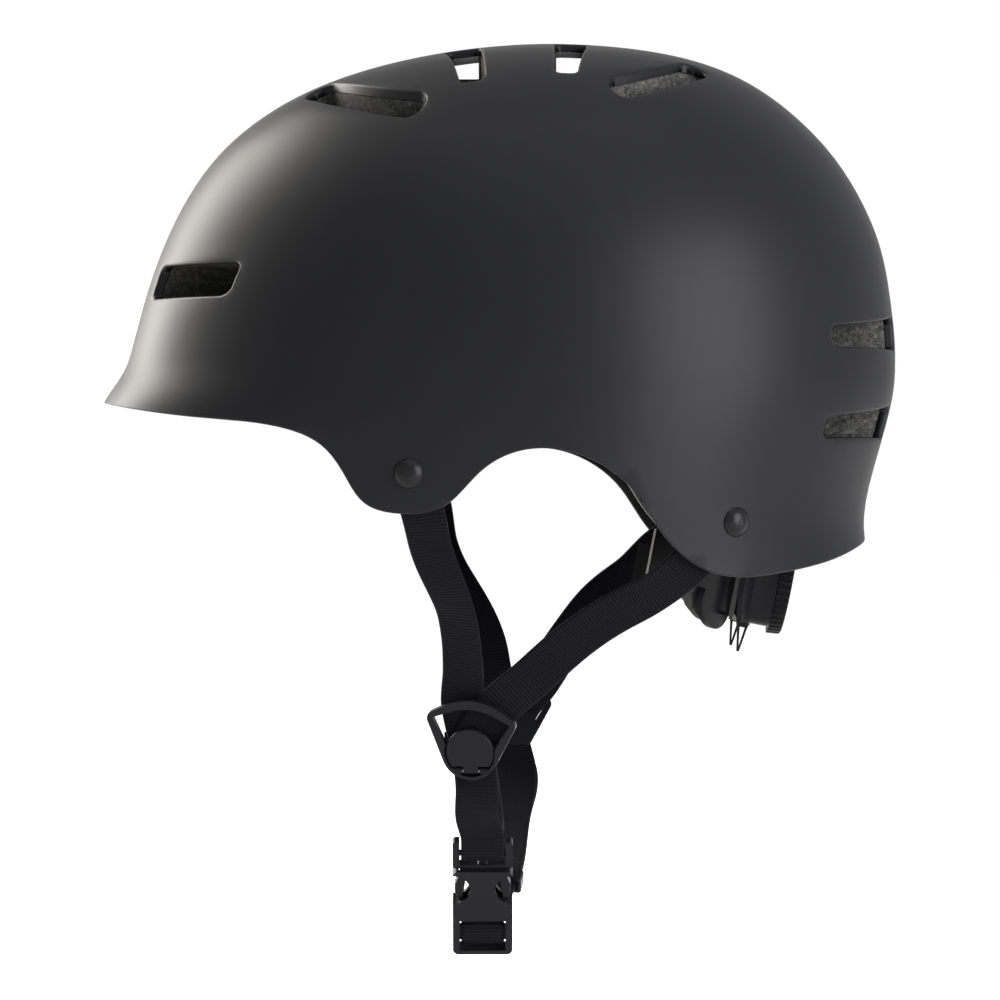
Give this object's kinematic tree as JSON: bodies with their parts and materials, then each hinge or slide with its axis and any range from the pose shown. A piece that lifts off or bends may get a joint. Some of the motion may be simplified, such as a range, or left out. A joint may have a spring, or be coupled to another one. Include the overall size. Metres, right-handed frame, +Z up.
{
  "type": "skateboard helmet",
  "caption": "Open-face skateboard helmet: hard round shell with vents over a foam liner, chin strap with side release buckle, and a rear dial that draws in a nape cradle.",
  "frame": {"origin": "middle of the crown pad's underside, where the helmet sits on a head", "axes": "+Z up through the crown, -Y forward to the visor, +X to the wearer's left, the side with the buckle"},
  "size_m": [0.214, 0.2779, 0.3169],
  "materials": {
    "shell_plastic": "satin",
    "liner_foam": "beaded foam",
    "pad_fabric": "brushed",
    "hook_tape": "hook tape",
    "rivet_metal": "satin",
    "washer_metal": "plain",
    "webbing": "woven",
    "strap_plastic": "satin",
    "buckle_plastic": "satin",
    "pin_steel": "plain",
    "cradle_plastic": "satin",
    "cradle_foam": "brushed",
    "housing_plastic": "satin",
    "dial_plastic": "matte",
    "gear_plastic": "plain"
  },
  "bodies": {
    "helmet": {"outer_shell": "shell_plastic", "foam_liner": "liner_foam", "hook_patches": "hook_tape", "crown_pad": "pad_fabric", "brow_pad": "pad_fabric", "side_pad_left": "pad_fabric", "side_pad_right": "pad_fabric", "rear_pad": "pad_fabric", "strap_rivets": "rivet_metal", "rivet_washers": "washer_metal", "strap_left": "webbing", "strap_right": "webbing", "strap_keeper": "strap_plastic", "divider_frame_left": "strap_plastic", "divider_frame_right": "strap_plastic", "lever_pins": "pin_steel", "buckle_plug": "buckle_plastic", "buckle_socket": "buckle_plastic", "cradle": "cradle_plastic", "cradle_pads": "cradle_foam", "cradle_anchors": "cradle_plastic", "retention_housing": "housing_plastic", "detent_ring": "gear_plastic"},
    "dial": {"dial_knob": "dial_plastic", "dial_pinion": "gear_plastic", "dial_screw": "pin_steel"},
    "band_left": {"band_left": "cradle_plastic"},
    "band_right": {"band_right": "cradle_plastic"},
    "lever_left": {"divider_lever_left": "strap_plastic"},
    "lever_right": {"divider_lever_right": "strap_plastic"},
    "arm_front": {"buckle_arm_front": "buckle_plastic"},
    "arm_rear": {"buckle_arm_rear": "buckle_plastic"}
  },
  "joints": [
    {"name": "dial_turn", "type": "hinge", "parent": "helmet", "child": "dial", "pos_m": [0, -0.0024, -0.1397], "axis": [0, 0.9816, -0.1908], "range_deg": [-120, 120]},
    {"name": "band_left_wind", "type": "hinge", "parent": "helmet", "child": "band_left", "pos_m": [0, -0.0024, -0.1397], "axis": [0, 0.1908, 0.9816], "range_deg": [-9.6, 9.6]},
    {"name": "band_right_wind", "type": "hinge", "parent": "helmet", "child": "band_right", "pos_m": [0, -0.0024, -0.1397], "axis": [0, 0.1908, 0.9816], "range_deg": [-9.6, 9.6]},
    {"name": "lever_left_open", "type": "hinge", "parent": "helmet", "child": "lever_left", "pos_m": [0.05943, -0.02658, -0.2173], "axis": [0.2081, 0.9781, 0], "range_deg": [0, 100]},
    {"name": "lever_right_open", "type": "hinge", "parent": "helmet", "child": "lever_right", "pos_m": [-0.06119, -0.01391, -0.21767], "axis": [0.1058, -0.9944, 0], "range_deg": [0, 100]},
    {"name": "arm_front_squeeze", "type": "hinge", "parent": "helmet", "child": "arm_front", "pos_m": [0.03731, -0.0295, -0.25334], "axis": [0.9152, 0, -0.4031], "range_deg": [0, 5.5], "stiffness_Nm_per_rad": 0.05},
    {"name": "arm_rear_squeeze", "type": "hinge", "parent": "helmet", "child": "arm_rear", "pos_m": [0.03731, -0.0163, -0.25334], "axis": [0.9152, 0, -0.4031], "range_deg": [-5.5, 0], "stiffness_Nm_per_rad": 0.05}
  ],
  "couplings": [
    {"joint": "band_left_wind", "follows": "dial_turn", "ratio": -0.079893},
    {"joint": "band_right_wind", "follows": "dial_turn", "ratio": 0.079893},
    {"joint": "arm_rear_squeeze", "follows": "arm_front_squeeze", "ratio": -1}
  ]
}
